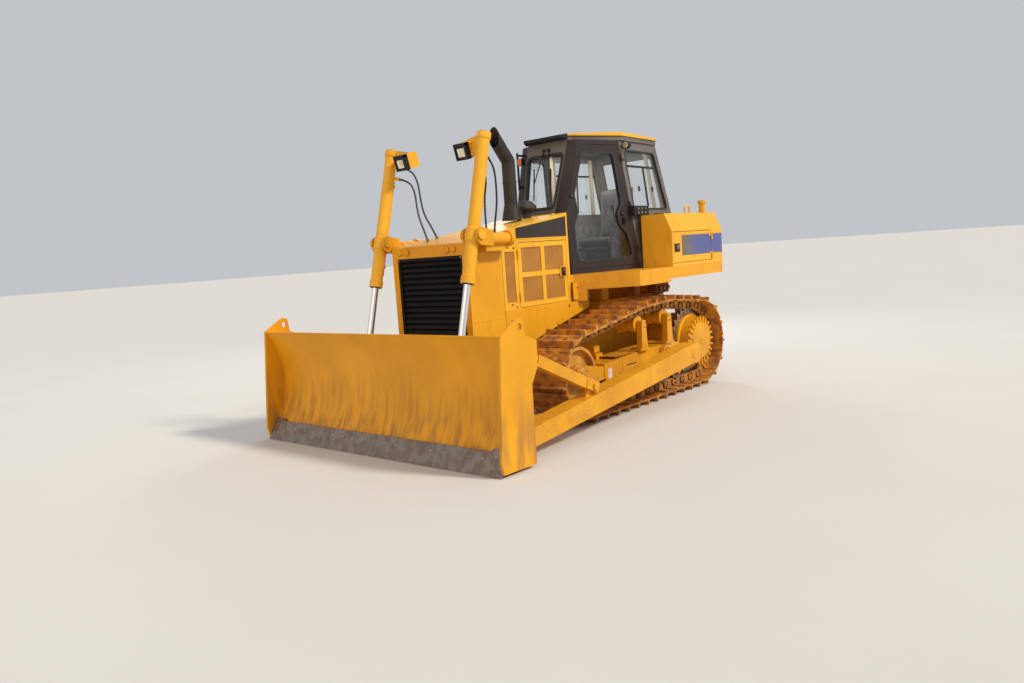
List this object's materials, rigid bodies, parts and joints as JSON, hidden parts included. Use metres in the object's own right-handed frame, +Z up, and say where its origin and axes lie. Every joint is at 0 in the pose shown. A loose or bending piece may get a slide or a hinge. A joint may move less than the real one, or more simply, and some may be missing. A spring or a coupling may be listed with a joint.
{
  "type": "crawler bulldozer",
  "caption": "Crawler bulldozer with straight blade, twin front lift cylinders, closed cab, rear tank and oval tracks.",
  "frame": {"origin": "on the ground under the middle of the machine's overall box, on its centre plane", "axes": "+X forward to the blade, +Y to the operator's left, +Z up"},
  "size_m": [5.2, 3.4, 3.176],
  "materials": {
    "yellow_paint": "satin",
    "cab_paint": "satin",
    "black_paint": "satin",
    "track_steel": "rough",
    "worn_steel": "worn",
    "chrome": "polished",
    "glass": "clear",
    "hose_rubber": "satin",
    "seat_cover": "satin",
    "trim_plastic": "matte"
  },
  "bodies": {
    "root": {"main_frame": "yellow_paint", "equalizer_bar": "yellow_paint", "radiator_guard": "yellow_paint", "radiator_grille": "black_paint", "hood": "yellow_paint", "engine_block": "black_paint", "engine_side_frames": "yellow_paint", "hull_side_panels": "yellow_paint", "exhaust_stack": "black_paint", "precleaner": "trim_plastic", "platform": "yellow_paint", "cab_shell": "cab_paint", "cab_roof": "yellow_paint", "cab_glass": "glass", "operator_seat": "seat_cover", "control_console": "trim_plastic", "cab_fittings": "black_paint", "rear_tank": "yellow_paint", "side_boxes": "yellow_paint", "tank_fittings": "yellow_paint", "drawbar": "yellow_paint", "sprockets": "worn_steel", "final_drives": "yellow_paint", "idlers": "track_steel", "idler_yokes": "yellow_paint", "track_rollers": "track_steel", "carrier_rollers": "yellow_paint", "cylinder_yokes": "yellow_paint", "track_left": "track_steel", "track_frame_left": "yellow_paint", "track_right": "track_steel", "track_frame_right": "yellow_paint", "hose_left_1": "hose_rubber", "hose_left_2": "hose_rubber", "hose_right_1": "hose_rubber", "hose_right_2": "hose_rubber"},
    "blade_frame": {"push_arms": "yellow_paint", "blade": "yellow_paint", "cutting_edge": "worn_steel", "blade_brace": "yellow_paint", "tilt_cylinder": "yellow_paint"},
    "lift_barrel_left": {"lift_barrel_left": "yellow_paint", "work_lamp_left": "black_paint"},
    "lift_rod_left": {"lift_rod_left": "chrome"},
    "cab_door_left": {"cab_door_left": "cab_paint", "door_glass_left": "glass"},
    "engine_door_left": {"engine_door_left": "yellow_paint"},
    "box_door_left": {"box_door_left": "yellow_paint"},
    "lift_barrel_right": {"lift_barrel_right": "yellow_paint", "work_lamp_right": "black_paint"},
    "lift_rod_right": {"lift_rod_right": "chrome"},
    "cab_door_right": {"cab_door_right": "cab_paint", "door_glass_right": "glass"},
    "engine_door_right": {"engine_door_right": "yellow_paint"},
    "box_door_right": {"box_door_right": "yellow_paint"}
  },
  "joints": [
    {"name": "blade_lift", "type": "hinge", "parent": "root", "child": "blade_frame", "pos_m": [-0.96, 0, 0.53], "axis": [0, -1, 0], "range_deg": [-8.84, 17.5]},
    {"name": "lift_barrel_swing_left", "type": "hinge", "parent": "root", "child": "lift_barrel_left", "pos_m": [1.658, 0.671, 1.994], "axis": [0, -1, 0], "range_deg": [-4.76, 9.36], "deforming": ["hose_left_1", "hose_left_2"]},
    {"name": "lift_rod_slide_left", "type": "slide", "parent": "lift_barrel_left", "child": "lift_rod_left", "axis": [0.2603, 0, -0.9655], "range_m": [-0.9, 0.456]},
    {"name": "cab_door_hinge_left", "type": "hinge", "parent": "root", "child": "cab_door_left", "pos_m": [-1.288, 0.65703, 1.562], "axis": [0.1389, -0.0632, 0.9883], "range_deg": [0, 80]},
    {"name": "engine_door_hinge_left", "type": "hinge", "parent": "root", "child": "engine_door_left", "pos_m": [0.778, 0.462, 1.562], "axis": [0, 0, -1], "range_deg": [0, 100]},
    {"name": "box_door_hinge_left", "type": "hinge", "parent": "root", "child": "box_door_left", "pos_m": [-2.303, 1.093, 1.72], "axis": [0, 0, 1], "range_deg": [0, 110]},
    {"name": "lift_barrel_swing_right", "type": "hinge", "parent": "root", "child": "lift_barrel_right", "pos_m": [1.658, -0.671, 1.994], "axis": [0, -1, 0], "range_deg": [-4.76, 9.36], "deforming": ["hose_right_1", "hose_right_2"]},
    {"name": "lift_rod_slide_right", "type": "slide", "parent": "lift_barrel_right", "child": "lift_rod_right", "axis": [0.2603, 0, -0.9655], "range_m": [-0.9, 0.456]},
    {"name": "cab_door_hinge_right", "type": "hinge", "parent": "root", "child": "cab_door_right", "pos_m": [-1.288, -0.65703, 1.562], "axis": [-0.1389, -0.0632, -0.9883], "range_deg": [0, 80]},
    {"name": "engine_door_hinge_right", "type": "hinge", "parent": "root", "child": "engine_door_right", "pos_m": [0.778, -0.462, 1.562], "axis": [0, 0, 1], "range_deg": [0, 100]},
    {"name": "box_door_hinge_right", "type": "hinge", "parent": "root", "child": "box_door_right", "pos_m": [-2.303, -1.093, 1.72], "axis": [0, 0, -1], "range_deg": [0, 110]}
  ],
  "couplings": [
    {"joint": "lift_barrel_swing_left", "follows": "blade_lift", "ratio": 0.531},
    {"joint": "lift_rod_slide_left", "follows": "blade_lift", "m_per_rad": -2.9385},
    {"joint": "lift_barrel_swing_right", "follows": "blade_lift", "ratio": 0.531},
    {"joint": "lift_rod_slide_right", "follows": "blade_lift", "m_per_rad": -2.9385}
  ]
}
